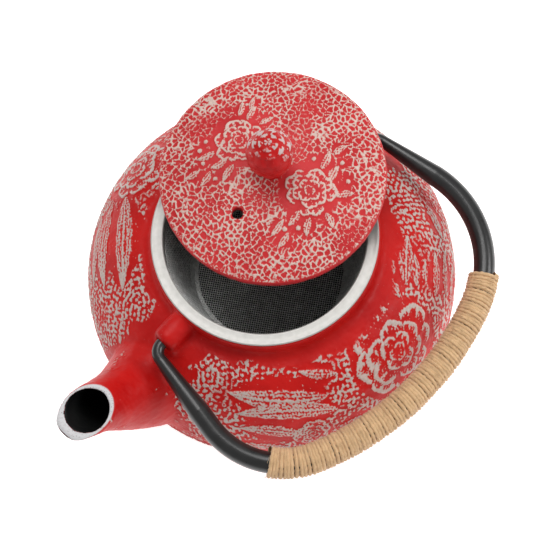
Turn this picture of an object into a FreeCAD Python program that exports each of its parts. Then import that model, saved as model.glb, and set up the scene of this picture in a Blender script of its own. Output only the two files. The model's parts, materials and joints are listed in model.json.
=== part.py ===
import FreeCAD, Part
import math
import os

# Cast iron teapot with a side spout, a swinging bail handle, a lid laid ajar on the rim and a mesh infuser.
# Millimetres. Origin: middle of the flat foot. +Z up, +X towards the spout.
# The bail's hinge line runs along X through both ears, and the bail lies folded towards +Y.

V = FreeCAD.Vector
os.makedirs("parts", exist_ok=True)

# ---- driving dimensions ----
BODY_R = 79.4            # widest radius of the pot
BELLY_Z = 42.0           # height of the widest line, where the casting's two halves meet
SEAM_BEAD = 0.6          # how far the raised line stands out there
SEAM_HALF_H = 1.2        # half the raised line's height
SEAM_BEVEL = 0.6
FOOT_R = 43.0            # flat foot disc
FOOT_H = 3.0
FOOT_DRAFT = 1.0         # how much the foot widens over its height
BOWL_RUN = 20.0          # how far out the bowl runs from the foot before it climbs
BOWL_RISE = 4.0          # and how much it rises over that run
BOWL_KNEE_Z = 22.0       # where the bowl's side starts to stand upright
SHOULDER_FALL = 19.5     # how far under the shoulder the side starts to lean in
SHOULDER_MID_R = 64.0    # the flattest part of the shoulder
SHOULDER_MID_FALL = 2.5
WALL = 3.2               # casting thickness
NECK_R = 47.0            # outside of the short neck under the rim
SHOULDER_R = 50.5        # where the neck runs out into the shoulder
SHOULDER_Z = 80.5
NECK_FILLET_R = 0.6      # hollow curve from the shoulder into the neck, outwards
NECK_FILLET_H = 4.0      # and upwards
RIM_Z = 90.1             # top of the casting's rim
MOUTH_R = 42.8           # bore of the neck
CUT_PAST = 1.0           # how far a cutting shape runs past the surface it opens
FLOOR_R_IN = 3.0         # the inside floor is this much smaller than the foot
INSIDE_RUN = 17.0        # the inside bowl's run from the floor
INSIDE_KNEE_Z = 24.0
INSIDE_FALL = 21.5       # the shoulder's underside: where it starts to lean in,
INSIDE_MID_R = 61.0      # its flattest part
INSIDE_MID_FALL = 6.0
MOUTH_FLARE = 4.0        # the mouth's bore opens this much under the neck
MOUTH_FLARE_H = 0.6

HINGE_Z = 83.0           # height of the bail's hinge line
EAR_FACE_X = 59.8        # outer end of each ear
EAR_W = 11.6             # width of an ear across the hinge line
EAR_LOW_Z = 72.0         # the lug's underside, inside the shoulder
EAR_BORE_R = 2.6
EAR_BORE_END_X = 50.5    # the bore is blind
EAR_SINK = 2.0           # how deep the ear's root sits in the neck
EAR_ROUND_R = 2.6        # rounding of the ear's outer end

SPOUT_CUT_Z = 89.8       # level mouth of the spout
SPOUT_WALL = 1.9
BORE_PAST_ROOT = (-6.0, -2.0)     # the spout's bore runs this far past the first station: x, z
BORE_PAST_TIP = (4.0, 4.0)        # and past the last
CUT_BOX = V(60.0, 80.0, 40.0)     # the block that levels the spout's mouth
# stations along the spout: x, z, rise angle in degrees, radius in the plane of the spout, radius across it
SPOUT = ((50.0, 46.0, 15.0, 25.0, 23.0),
         (70.0, 54.0, 27.0, 22.5, 20.5),
         (83.5, 65.0, 39.0, 16.5, 14.5),
         (93.4, 78.6, 46.0, 11.2, 11.1),
         (107.0, 95.0, 46.0, 9.6, 10.3))

TUBE_R = 4.4             # bail tube
TUBE_BORE_R = 3.4
HOOK_R = 2.5             # the tube's ends are drawn down to this radius
HOOK_BEND_R = 5.0        # bend between the leg and the pin that enters the ear
PIN_END_X = 51.5
LEG_X = 65.4             # half distance between the legs, at the bend's height
LEG_TAPER_L = 26.0       # length of the drawn-down stretch of each leg
CORNER_R_FRONT = 36.0    # bend at the bail's shoulder on the spout side
CORNER_R_BACK = 43.0     # and on the other side, where the hand bending left it rounder
CROWN_R = 124.0          # long arc across the bail's top
CROWN_U = 86.5           # distance of the crown from the hinge line
CROWN_C = V(0, CROWN_U - CROWN_R, 0)
WIDEST_X = 70.8          # half width of the bail at its shoulders
BAIL_X = -0.5            # end play: the bail has slid this far away from the spout
DROOP_DEG = 8.0          # the folded bail hangs this far under the level

WRAP_R = 6.2             # outside of the twine winding
WRAP_START_DEG = 37.0    # ends of the winding, as angles up the corner bends: spout side
WRAP_END_DEG = 56.0      # and the other side

SEAT_GAP = 0.1           # air between parts that only rest on one another
FLANGE_R = 46.5          # infuser flange
FLANGE_T = 0.8
COLLAR_R = 42.2          # outside of the flange's inner collar
COLLAR_T = 0.6
COLLAR_H = 8.0
MESH_T = 0.4
BASKET_R = 34.0          # outside of the mesh wall at the base
BASKET_Z = 44.5          # underside of the base ring
BASE_RING_H = 4.5
BASE_RING_T = 0.6
BASE_RING_LIP = 2.5      # how far the base ring turns in under the mesh
MESH_LAP = 3.0           # how far the mesh wall runs up inside the collar
MESH_BEND_GAP = 0.5      # it starts to lean in this far under the collar

LID_R = 46.2
LID_EDGE_H = 4.5         # height of the lid's edge
LID_DOME_H = 7.0         # rise of the dome above the edge
LID_BOSS_R = 9.0         # flat in the middle, under the knob
LID_T = 4.0
LID_EDGE_BEVEL = 0.8
LID_EDGE_DRAFT = 0.3
DOME_R = (24.0, 38.0)    # radii that shape the dome's top
DOME_LOW = 2.4           # height over the edge at the outer of the two
UNDER_R = (30.0, 20.0)   # and the hollow under it
SPIGOT_R = 40.8          # ring under the lid that drops into the flange's collar when the lid is closed
SPIGOT_T = 2.6
SPIGOT_H = 6.5
SPIGOT_DRAFT = 0.4
SPIGOT_ROOT = 1.0        # widening of the ring's inside where it meets the lid
LID_X = -18.4            # the lid lies ajar: its middle in plan
LID_Y = -12.7
VENT_R = 2.3
VENT_DIST = 23.0
VENT_DEG = 8.2

KNOB_BASE_R = 5.6
KNOB_NECK_R = 4.7
KNOB_R = 8.7
KNOB_H = 26.0
# the bud's outline over the lid: radius, height
KNOB_WAIST = ((KNOB_BASE_R, 0.0), (KNOB_NECK_R - 0.6, 1.6), (KNOB_NECK_R - 0.4, 3.4),
              (KNOB_NECK_R + 0.6, 5.0))
KNOB_BULGE = ((KNOB_NECK_R + 0.6, 5.0), (KNOB_R + 0.4, 9.5), (KNOB_R + 1.6, 17.0), (7.0, 21.6))
KNOB_TIP = ((7.0, 21.6), (5.0, 25.0), (2.4, KNOB_H), (0.0, KNOB_H))
RIVET_R = 2.0
RIVET_REACH = 14.0       # how far the shank goes up into the knob
RIVET_HEAD_R = 4.2
RIVET_HEAD_H = 1.8
WASHER_R = 6.5
WASHER_T = 0.8
HOLE_L = 30.0            # length of the cutting rods for through holes
HOLE_LOW_Z = -10.0


def bezier(*points):
    """One Bezier edge through its control points in the XZ plane."""
    curve = Part.BezierCurve()
    curve.setPoles([V(x, 0, z) for x, z in points])
    return curve.toShape()


def line(a, b):
    return Part.makeLine(V(a[0], 0, a[1]), V(b[0], 0, b[1]))


def revolve(edges):
    """Turn a closed outline of XZ edges about the Z axis."""
    face = Part.Face(Part.Wire(edges))
    solid = face.revolve(V(0, 0, 0), V(0, 0, 1), 360)
    return solid if solid.Volume > 0 else solid.reversed()


def polygon_ring(*points):
    """Turn a straight-sided outline about the Z axis."""
    closed = list(points) + [points[0]]
    return revolve([line(a, b) for a, b in zip(closed, closed[1:])])


def pot_outside():
    """Foot, bowl, shoulder and neck as one turned solid with the raised line round its widest part."""
    upper_z = BELLY_Z + SEAM_HALF_H
    lower_z = BELLY_Z - SEAM_HALF_H
    foot_top = (FOOT_R + FOOT_DRAFT, FOOT_H)
    seam_r = BODY_R + SEAM_BEAD
    neck_low = (NECK_R, SHOULDER_Z + NECK_FILLET_H)
    edges = [line((0, 0), (FOOT_R, 0)),
             line((FOOT_R, 0), foot_top),
             bezier(foot_top, (FOOT_R + BOWL_RUN, FOOT_H + BOWL_RISE), (BODY_R, BOWL_KNEE_Z),
                    (BODY_R, lower_z)),
             line((BODY_R, lower_z), (seam_r, lower_z + SEAM_BEVEL)),
             line((seam_r, lower_z + SEAM_BEVEL), (seam_r, upper_z - SEAM_BEVEL)),
             line((seam_r, upper_z - SEAM_BEVEL), (BODY_R, upper_z)),
             bezier((BODY_R, upper_z), (BODY_R, SHOULDER_Z - SHOULDER_FALL),
                    (SHOULDER_MID_R, SHOULDER_Z - SHOULDER_MID_FALL), (SHOULDER_R, SHOULDER_Z)),
             bezier((SHOULDER_R, SHOULDER_Z), (NECK_R + NECK_FILLET_R, SHOULDER_Z + NECK_FILLET_R), neck_low),
             line(neck_low, (NECK_R, RIM_Z)),
             line((NECK_R, RIM_Z), (0, RIM_Z)),
             line((0, RIM_Z), (0, 0))]
    return revolve(edges)


def pot_inside():
    """The room inside the pot, one wall thickness in from the outside."""
    inner_r = BODY_R - WALL
    floor_z = FOOT_H + WALL
    floor_edge = (FOOT_R - FLOOR_R_IN, floor_z)
    flare = (MOUTH_R + MOUTH_FLARE, SHOULDER_Z - WALL - MOUTH_FLARE_H)
    top_z = RIM_Z + CUT_PAST
    edges = [line((0, floor_z), floor_edge),
             bezier(floor_edge, (FOOT_R + INSIDE_RUN, floor_z + BOWL_RISE), (inner_r, INSIDE_KNEE_Z),
                    (inner_r, BELLY_Z)),
             bezier((inner_r, BELLY_Z), (inner_r, SHOULDER_Z - INSIDE_FALL),
                    (INSIDE_MID_R, SHOULDER_Z - INSIDE_MID_FALL), flare),
             bezier(flare, (MOUTH_R, SHOULDER_Z - WALL), (MOUTH_R, SHOULDER_Z)),
             line((MOUTH_R, SHOULDER_Z), (MOUTH_R, top_z)),
             line((MOUTH_R, top_z), (0, top_z)),
             line((0, top_z), (0, floor_z))]
    return revolve(edges)


def spout_ring(station, inset):
    """A stretched circle square to the spout at one station."""
    x, z, rise, in_plane, across = station
    a = math.radians(rise)
    high, wide = in_plane - inset, across - inset
    stretch = FreeCAD.Matrix(-math.sin(a) * high, 0, math.cos(a), x,
                             0, wide, 0, 0,
                             math.cos(a) * high, 0, math.sin(a), z,
                             0, 0, 0, 1)
    circle = Part.Circle(V(0, 0, 0), V(0, 0, 1), 1.0).toShape()
    return Part.Wire([circle.transformGeometry(stretch)])


def spout(inset):
    """The spout's outside, or with an inset its bore, which runs on past both ends."""
    stations = list(SPOUT)
    if inset > 0:
        for end, past in ((0, BORE_PAST_ROOT), (-1, BORE_PAST_TIP)):
            x, z, rise, in_plane, across = stations[end]
            stations[end] = (x + past[0], z + past[1], rise, in_plane, across)
    return Part.makeLoft([spout_ring(s, inset) for s in stations], True, False)


def ear(side):
    """A radial lug from the neck to the ear's rounded outer end, with a round top over the hinge line."""
    r = EAR_W / 2
    x0 = NECK_R - EAR_SINK
    length = EAR_FACE_X - x0
    top = Part.makeCylinder(r, length, V(x0, 0, HINGE_Z), V(1, 0, 0))
    base = Part.makeBox(length, EAR_W, HINGE_Z - EAR_LOW_Z, V(x0, -r, EAR_LOW_Z))
    lug = top.fuse(base).removeSplitter()
    end_edges = [e for e in lug.Edges
                 if e.BoundBox.XMin > EAR_FACE_X - SEAT_GAP and e.BoundBox.ZMax > EAR_LOW_Z + SEAT_GAP]
    lug = lug.makeFillet(EAR_ROUND_R, end_edges)
    if side < 0:
        lug = lug.mirror(V(0, 0, 0), V(1, 0, 0))
    return lug


def ear_bore(side):
    length = EAR_FACE_X - EAR_BORE_END_X + CUT_PAST
    bore = Part.makeCylinder(EAR_BORE_R, length, V(EAR_BORE_END_X, 0, HINGE_Z), V(1, 0, 0))
    if side < 0:
        bore = bore.mirror(V(0, 0, 0), V(1, 0, 0))
    return bore


def pot_body():
    solid = pot_outside().fuse([spout(0.0), ear(1), ear(-1)])
    solid = solid.cut(pot_inside())
    solid = solid.cut(spout(SPOUT_WALL))
    solid = solid.cut([ear_bore(1), ear_bore(-1)])
    above_spout = Part.makeBox(CUT_BOX.x, CUT_BOX.y, CUT_BOX.z, V(BODY_R, -CUT_BOX.y / 2, SPOUT_CUT_Z))
    return solid.cut(above_spout).removeSplitter()


def infuser():
    """Flange with its collar, mesh wall, mesh base and the ring that joins them."""
    top = RIM_Z + SEAT_GAP + FLANGE_T
    under = RIM_Z + SEAT_GAP
    collar_in = COLLAR_R - COLLAR_T
    collar_low = top - COLLAR_H
    flange = polygon_ring((collar_in, top), (FLANGE_R, top), (FLANGE_R, under), (COLLAR_R, under),
                          (COLLAR_R, collar_low), (collar_in, collar_low))
    mesh_z = BASKET_Z + BASE_RING_T
    wall_low = mesh_z + MESH_T
    ring_top = BASKET_Z + BASE_RING_H
    lap = collar_low + MESH_LAP
    bend = collar_low - MESH_BEND_GAP
    wall = polygon_ring((collar_in, lap), (collar_in, bend), (BASKET_R, ring_top),
                        (BASKET_R, wall_low), (BASKET_R - MESH_T, wall_low),
                        (BASKET_R - MESH_T, ring_top), (collar_in - MESH_T, bend), (collar_in - MESH_T, lap))
    base = Part.makeCylinder(BASKET_R, MESH_T, V(0, 0, mesh_z))
    ring = polygon_ring((BASKET_R, mesh_z), (BASKET_R, ring_top), (BASKET_R + BASE_RING_T, ring_top),
                        (BASKET_R + BASE_RING_T, BASKET_Z), (BASKET_R - BASE_RING_LIP, BASKET_Z),
                        (BASKET_R - BASE_RING_LIP, mesh_z))
    return {"infuser_flange": flange, "infuser_wall_mesh": wall, "infuser_base_mesh": base,
            "infuser_base_ring": ring}


def lid_parts():
    """Lid, knob, rivet and washer, made about their own axis with the lid's seat at z = 0, then laid ajar."""
    dome_z = LID_EDGE_H + LID_DOME_H
    under_z = dome_z - LID_T
    edge_in = LID_R - LID_EDGE_BEVEL
    edge_low = LID_R - LID_EDGE_DRAFT
    spigot_low = SPIGOT_R - SPIGOT_DRAFT
    spigot_in = SPIGOT_R - SPIGOT_T
    root_in = (spigot_in - SPIGOT_ROOT, SPIGOT_ROOT)
    edges = [line((0, dome_z), (LID_BOSS_R, dome_z)),
             bezier((LID_BOSS_R, dome_z), (DOME_R[0], dome_z), (DOME_R[1], LID_EDGE_H + DOME_LOW),
                    (edge_in, LID_EDGE_H)),
             line((edge_in, LID_EDGE_H), (LID_R, LID_EDGE_H - LID_EDGE_BEVEL)),
             line((LID_R, LID_EDGE_H - LID_EDGE_BEVEL), (edge_low, 0)),
             line((edge_low, 0), (SPIGOT_R, 0)),
             line((SPIGOT_R, 0), (spigot_low, -SPIGOT_H)),
             line((spigot_low, -SPIGOT_H), (spigot_in, -SPIGOT_H)),
             line((spigot_in, -SPIGOT_H), root_in),
             bezier(root_in, (UNDER_R[0], under_z), (UNDER_R[1], under_z), (LID_BOSS_R, under_z)),
             line((LID_BOSS_R, under_z), (0, under_z)),
             line((0, under_z), (0, dome_z))]
    a = math.radians(VENT_DEG)
    vent = Part.makeCylinder(VENT_R, HOLE_L, V(VENT_DIST * math.cos(a), VENT_DIST * math.sin(a), HOLE_LOW_Z))
    shank_hole = Part.makeCylinder(RIVET_R, HOLE_L, V(0, 0, HOLE_LOW_Z))
    lid = revolve(edges).cut([vent, shank_hole])

    bud = [bezier(*[(r, dome_z + h) for r, h in curve]) for curve in (KNOB_WAIST, KNOB_BULGE, KNOB_TIP)]
    knob = revolve([line((0, dome_z), (KNOB_BASE_R, dome_z))] + bud
                   + [line((0, dome_z + KNOB_H), (0, dome_z))])
    knob = knob.cut(Part.makeCylinder(RIVET_R, RIVET_REACH, V(0, 0, dome_z)))

    washer = Part.makeCylinder(WASHER_R, WASHER_T, V(0, 0, under_z - WASHER_T))
    washer = washer.cut(Part.makeCylinder(RIVET_R, HOLE_L, V(0, 0, HOLE_LOW_Z)))
    head_top = under_z - WASHER_T
    head_ball_r = (RIVET_HEAD_R ** 2 + RIVET_HEAD_H ** 2) / (2 * RIVET_HEAD_H)
    ball = Part.makeSphere(head_ball_r, V(0, 0, head_top - RIVET_HEAD_H + head_ball_r))
    head = ball.common(Part.makeCylinder(RIVET_HEAD_R + 1, RIVET_HEAD_H, V(0, 0, head_top - RIVET_HEAD_H)))
    shank = Part.makeCylinder(RIVET_R, dome_z + RIVET_REACH - head_top, V(0, 0, head_top))
    rivet = head.fuse(shank).removeSplitter()

    seat_z = RIM_Z + SEAT_GAP + FLANGE_T + SEAT_GAP + SPIGOT_H
    pieces = {"lid": lid, "lid_knob": knob, "knob_washer": washer, "knob_rivet": rivet}
    for piece in pieces.values():
        piece.translate(V(LID_X, LID_Y, seat_z))
    return pieces


class BailSide:
    """Centreline of half the bail in its own plane: x runs outwards, u away from the hinge line."""

    def __init__(self, corner_r):
        self.corner_r = corner_r
        reach = CROWN_R - corner_r
        half = math.asin((WIDEST_X - corner_r) / reach)
        self.corner_c = CROWN_C + V(math.sin(half), math.cos(half), 0) * reach
        leg_foot = V(LEG_X, HOOK_BEND_R, 0)
        d = leg_foot - self.corner_c
        splay = math.atan2(-d.y, d.x) - math.acos(corner_r / d.Length)
        out = V(math.cos(splay), -math.sin(splay), 0)
        self.along = V(math.sin(splay), math.cos(splay), 0)
        self.leg_top = self.corner_c + out * corner_r
        self.bend_c = V(LEG_X - HOOK_BEND_R / math.cos(splay), HOOK_BEND_R, 0)
        self.bend_end = self.bend_c + out * HOOK_BEND_R
        self.taper_end = self.bend_end + self.along * LEG_TAPER_L
        self.splay_deg = math.degrees(splay)
        self.crown_deg = 90 - math.degrees(half)

    def corner(self, from_deg=None):
        """The corner bend, from the leg or from a given angle up to the crown arc."""
        start = -self.splay_deg if from_deg is None else from_deg
        return arc(self.corner_c, self.corner_r, start, self.crown_deg)

    def crown(self):
        """Half of the crown arc, up to the middle."""
        return arc(CROWN_C, CROWN_R, self.crown_deg, 90)

    def end_piece(self):
        """The leg's drawn-down stretch, the hook bend and the pin that enters the ear."""
        cone = Part.makeCone(HOOK_R, TUBE_R, LEG_TAPER_L, self.bend_end, self.along)
        bend = pipe([arc(self.bend_c, HOOK_BEND_R, -90, -self.splay_deg)], HOOK_R)
        pin = Part.makeCylinder(HOOK_R, self.bend_c.x - PIN_END_X, V(PIN_END_X, 0, 0), V(1, 0, 0))
        return cone.fuse([bend, pin])

    def tube(self, radius):
        return pipe([Part.makeLine(self.taper_end, self.leg_top), self.corner(), self.crown()], radius)

    def sleeve(self, radius, from_deg):
        return pipe([self.corner(from_deg), self.crown()], radius)


def arc(centre, radius, from_deg, to_deg):
    """An arc in the bail's plane, angles from +X."""
    angles = [math.radians(t) for t in (from_deg, (from_deg + to_deg) / 2, to_deg)]
    return Part.Arc(*[centre + V(math.cos(t), math.sin(t), 0) * radius for t in angles]).toShape()


def pipe(edges, radius):
    wire = Part.Wire(edges)
    first = wire.Edges[0]
    start = first.valueAt(first.FirstParameter)
    tangent = first.tangentAt(first.FirstParameter)
    ring = Part.Wire([Part.Circle(start, tangent, radius).toShape()])
    return wire.makePipeShell([ring], True, True)


def mirrored(shape):
    return shape.mirror(V(0, 0, 0), V(1, 0, 0))


def in_rest_place(shape):
    """Swing a bail shape from its own plane to the folded place."""
    shape.rotate(V(0, 0, 0), V(1, 0, 0), -DROOP_DEG)
    shape.translate(V(BAIL_X, 0, HINGE_Z))
    return shape


def bail_handle():
    front, back = BailSide(CORNER_R_FRONT), BailSide(CORNER_R_BACK)
    outside = front.tube(TUBE_R).fuse(mirrored(back.tube(TUBE_R)))
    bore = front.tube(TUBE_BORE_R).fuse(mirrored(back.tube(TUBE_BORE_R)))
    ends = [front.end_piece(), mirrored(back.end_piece())]
    return in_rest_place(outside.cut(bore).fuse(ends).removeSplitter())


def handle_wrap():
    """The wound sleeve of twine, a plain tube round the bail."""
    front, back = BailSide(CORNER_R_FRONT), BailSide(CORNER_R_BACK)
    outside = front.sleeve(WRAP_R, WRAP_START_DEG).fuse(mirrored(back.sleeve(WRAP_R, WRAP_END_DEG)))
    inside = front.sleeve(TUBE_R, WRAP_START_DEG).fuse(mirrored(back.sleeve(TUBE_R, WRAP_END_DEG)))
    return in_rest_place(outside.cut(inside).removeSplitter())


def main():
    nodes = {"pot_body": pot_body(), "bail_handle": bail_handle(), "handle_wrap": handle_wrap()}
    nodes.update(infuser())
    nodes.update(lid_parts())
    for name, shape in nodes.items():
        if len(shape.Solids) == 1:
            shape = shape.Solids[0]
        shape.exportStep(f"parts/{name}.step")
        print(name, "solids", len(shape.Solids), "valid", shape.isValid(), "volume", round(shape.Volume, 1))


main()
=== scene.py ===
import json
import math

import bmesh
import bpy
import numpy as np
from mathutils import Matrix, Vector
from mathutils.bvhtree import BVHTree


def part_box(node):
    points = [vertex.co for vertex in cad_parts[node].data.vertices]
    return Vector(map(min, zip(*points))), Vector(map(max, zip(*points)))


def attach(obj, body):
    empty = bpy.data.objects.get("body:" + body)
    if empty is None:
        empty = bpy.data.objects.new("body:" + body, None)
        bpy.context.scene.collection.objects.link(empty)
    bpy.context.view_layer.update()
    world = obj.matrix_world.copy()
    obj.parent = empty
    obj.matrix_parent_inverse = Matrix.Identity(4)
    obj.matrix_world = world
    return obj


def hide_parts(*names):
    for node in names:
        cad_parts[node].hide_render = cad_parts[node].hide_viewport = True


# Looks of a cast iron teapot: relief casting brushed with silver, flowered lid, woven infuser, wound bail.
# Numbers are millimetres, and points are numpy arrays in millimetres until a mesh is written in metres.

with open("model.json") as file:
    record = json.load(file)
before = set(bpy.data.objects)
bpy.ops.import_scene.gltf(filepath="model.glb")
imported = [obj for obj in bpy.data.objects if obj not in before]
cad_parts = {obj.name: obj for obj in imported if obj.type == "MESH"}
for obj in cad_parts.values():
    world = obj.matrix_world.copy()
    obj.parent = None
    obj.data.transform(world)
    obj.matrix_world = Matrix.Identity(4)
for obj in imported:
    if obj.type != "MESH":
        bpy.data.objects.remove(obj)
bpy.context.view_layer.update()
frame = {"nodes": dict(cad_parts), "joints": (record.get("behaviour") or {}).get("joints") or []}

MM = 0.001

# ---- camera ----
CAMERA_ELEVATION = 71.52
CAMERA_AZIMUTH = 143.40
CAMERA_ROLL = -9.39
CAMERA_DISTANCE = 650.0
CAMERA_TARGET = (2.97, 6.66, 60.0)
CAMERA_LENS = 100.45

# ---- studio: each lamp's place in metres, side in metres and watts ----
OVERHEAD_LAMP = ((-0.28, -0.36, 1.3), 0.8, 9.5)
SIDE_LAMP = ((-0.7, 0.8, 0.8), 0.5, 5.0)
LAMP_TARGET = (0, 0, 0.05)
WORLD_LIGHT = 0.4
FLOOR_GLOW = 0.75
FLOOR_REACH = 3000.0
FLOOR_Z = -0.3

# ---- mesh fineness ----
BODY_VOXEL = 0.5
LID_VOXEL = 0.36
KNOB_VOXEL = 0.36
POT_INSIDE_FACES = 0.16  # share of the faces kept where nothing fine is seen
LID_UNDER_FACES = 0.3

# ---- the pot's casting ----
WALL = 3.2
SEAM_Z = 42.0  # the casting's halves meet at its widest part
SEAM_BRUSHED_Z = 43.4  # upper edge of the seam, where the brush catches
INSIDE_LOW_Z = 4.6
CUT_DEPTH = (0.75, 0.45)  # the spout's bare cut rim: where it starts and where it is whole, below the cut
SPOUT_X = 80.0  # past here there is nothing but the spout
SPOUT_HALF_W = 24.0
SKIN_SLACK = 0.6  # skin further than this outside the bowl's outline is the spout's or an ear's
SPOUT_AXIS = ((60.0, 48.0), (86.0, 67.0))  # x and z of the bore's root and knee
SPOUT_AXIS_PAST = 12.0  # the axis runs on past the tip by this, in x and in z
EAR_X = (46.5, 50.0)  # the ears' faces are softened from here outwards,
EAR_Y = (11.0, 15.0)  # within this half width
EAR_Z = (68.0, 73.0)  # and above their underside,
EAR_BORE_R = 3.4  # but not in the bore

# ---- plain red zones: the gap from their middle where they start to fade, and where they end ----
SPOUT_ZONE = (19.0, 27.0)
SPOUT_ZONE_AT = (74.0, 55.0)  # x and z of its middle, at the spout's root
EAR_ZONE = (11.0, 18.0)
EAR_ZONE_Z = 68.0
FAR_EAR_ZONE = (8.0, 13.0)
FAR_EAR_ZONE_Z = 66.0
NECK_ZONE = (0.0, 3.0)  # past the neck's plain ring
NECK_R = 49.5  # its radius,
NECK_MORE = 4.5  # and how much more it is
NECK_MORE_AT = 108.0  # at this azimuth
NECK_LOW_Z = 60.0

# ---- casting relief ----
WORM_WAVE = 2.0  # spacing of the raised worms on the pot
WORM_H = 0.34
PETAL_H = 0.85
LEAF_H = 0.6
LEAF_GROUND = 2.3  # smooth ground round a leaf, as a share of the leaf's width
CELL = 2.15  # cell size of the raised network on the lid
NETWORK_H = 0.3
NETWORK_LINE = 0.19  # how thick the network's lines are
LID_MOTIF_H = 0.75
LID_LEAF_GROUND = 2.4
SCALE_H = 0.55  # scales of the knob's bud
SCALE_ROWS = 8.0  # rows up the bud, if they went on to its tip
SCALES_ROUND = (9.0, 7.0, 5.0)  # scales round the lower rows, the next, those at the tip
CROWN_FROM = 0.8  # share of the bud's height where its crown begins
CROWN_R = 7.5
CROWN_ROWS = 3.2
WAIST = (0.24, 0.36)  # share of the bud's height where the scales begin
KNOB_HOLE_R = 2.3
LID_HOLE_R = 2.2
LID_TOP_Z = 9.0  # above its lowest point, the lid is painted from here up,
LID_EDGE_Z = 6.4  # and on its edge from here up
LID_EDGE_W = 0.9
# rings of a peony, outer first: petals, distance out and size as shares of the flower's radius
PEONY_RINGS = ((8, 0.7, 0.31), (6, 0.45, 0.28), (4, 0.24, 0.22), (3, 0.08, 0.13))
# peonies on the pot: azimuth in degrees, height, radius, seed
PEONIES = ((95.5, 69.0, 20.0, 4), (58.0, 57.0, 8.0, 6), (-80.0, 70.0, 15.0, 9), (-150.0, 68.0, 17.0, 12),
           (100.0, 24.0, 12.0, 21), (-80.0, 24.0, 12.0, 22), (168.0, 25.0, 12.0, 23))
# leaves on the pot: azimuth and height of the stalk, of the tip, half width, bend
BLADES = (
    ((118, 77), (138, 77.5), 3.6, 0.5), ((119, 74), (131, 76), 2.2, -0.6), ((122, 71), (129, 72), 1.9, 0.5),
    ((119, 65), (134, 68), 2.6, -0.7), ((122, 58), (136, 62), 2.2, 0.7), ((120, 51), (134, 54), 2.0, 0.5),
    ((112, 77), (121, 81), 2.3, 0.5), ((128, 81), (120, 79.5), 1.8, 0.5),
    ((66, 71), (30, 74.5), 5.0, 2.2), ((68, 65), (34, 68), 4.4, -2.0), ((56, 57), (35, 62), 3.2, -1.4),
    ((66, 55), (80, 50), 2.8, 1.0), ((72, 76), (58, 79), 2.2, 0.8), ((50, 50), (33, 53), 2.6, 0.8),
    ((-68, 73), (-29, 75), 4.6, 1.6), ((-66, 67), (-34, 68), 4.2, -1.8), ((-62, 60), (-38, 60), 3.2, 1.2),
    ((-96, 74), (-112, 76), 2.6, 0.8), ((-98, 68), (-116, 69), 2.6, -0.7),
    ((-135, 71), (-112, 62), 3.6, -1.6), ((-165, 71), (172, 73), 4.0, 1.6),
    ((-166, 65), (174, 64), 3.6, -1.4), ((152, 68), (140, 62), 2.8, 0.8),
    ((84, 26), (62, 30), 3.8, 1.8), ((84, 22), (64, 20), 3.4, -1.4),
    ((-96, 26), (-118, 30), 3.8, 1.8), ((-96, 22), (-116, 20), 3.4, -1.4), ((150, 28), (128, 31), 3.6, 1.6),
)

# sprays on the lid, from its middle: the peony's place, radius and seed, its leaves, its berries
LID_SPRAYS = (
    ((0.5, -18.0), 10.0, 3,
     (((9, 2), (16, 0), 1.7, 0.6), ((9, 6), (17, 8), 1.6, -0.5), ((10, -4), (17, -7), 1.6, 0.5),
      ((-9, -4), (-16, -6), 1.4, 0.4), ((-8, -8), (-14, -12), 1.3, -0.4), ((-13, -6), (-19, -10), 1.2, 0.4),
      ((17, 1), (24, 2), 1.6, 0.4), ((-11, 1), (-17, 3), 1.3, 0.4), ((20, -3), (26, -5), 1.5, 0.3)),
     ((13.5, -9, 1.1), (16.5, -4, 1.0), (18, 4.5, 1.0), (-14, -9.5, 0.8), (9, -10, 1.0))),
    ((-3.5, 17.5), 10.5, 8,
     (((9, 3), (16, 4), 1.7, 0.5), ((8, 8), (14, 12), 1.6, -0.5), ((-9, 3), (-16, 1), 1.8, 0.6),
      ((-10, -3), (-18, -6), 1.7, -0.5), ((-6, 9), (-12, 13), 1.7, 0.5), ((16, 1), (24, 2), 1.4, 0.4),
      ((2, 11), (4, 17), 1.6, 0.4), ((-18, -4), (-25, -3), 1.5, 0.4), ((18, 6), (25, 7), 1.4, 0.4)),
     ((14, 7.5, 1.1), (18, 4.0, 1.1), (-14, 8, 1.0), (-18, 1, 1.0), (-11, -8, 1.0))),
)

# ---- paints: red, the deeper red it drifts to, the metal brushed on ----
POT_PAINT = ((0.58, 0.009, 0.007), (0.46, 0.004, 0.004), (0.6, 0.5, 0.455))
# the lid's red and metal are paler and pinker than the pot's: the real red paint and brushed silver, plus a
# painted sheen of the overhead lamp on the lid's top
LID_PAINT_WITH_SHEEN = ((0.6, 0.03, 0.034), (0.48, 0.014, 0.018), (0.74, 0.56, 0.49))
KNOB_PAINT = ((0.56, 0.01, 0.01), (0.43, 0.004, 0.005), (0.64, 0.5, 0.48))
SPECKLE = (0.74, 1.24)  # share caught plus pores, from where the metal starts to where it is whole

# ---- infuser ----
FLANGE_T = 0.8
FLANGE_DIP = 0.12  # the flat lies this far below the beads at its two edges
COLLAR_T = 0.5
WIRE_R = 0.19
WIRE_SIDES = 3
WIRE_PITCH = 0.95
WALL_PITCH = WIRE_PITCH * 1.15
WALL_INSET = 0.35  # the woven wall lies this far inside the sheet that it stands for
BASE_INSET = 0.3
BASE_TURN = 34.0  # the base's weave is turned by this
WALL_TUCK = 2.0  # the wall runs on this far up inside the collar
SHORTEST_WIRE = 2.0

# ---- twine ----
LOOK_FROM = 30.0  # the bail's tube is found from this far out from its hinge line,
LOOK_BACK = 200.0  # and from this much further out
TUBE_R = 4.4
WINDING_R = 6.3
WINDING_REACH = 4.6  # tube this near to the sleeve's points is wound
TWINE_PITCH = 1.45
TWINE_STEPS = 30  # points along one turn
TWINE_SIDES = 10
PLY_TWIST = 9  # twists of the strand in one turn
PLY_DEPTH = 0.2
HAIRS = 2000
HAIR_R = 0.06
HAIR_LENGTH = (1.5, 5.0)


# ---------------- mesh helpers

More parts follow.
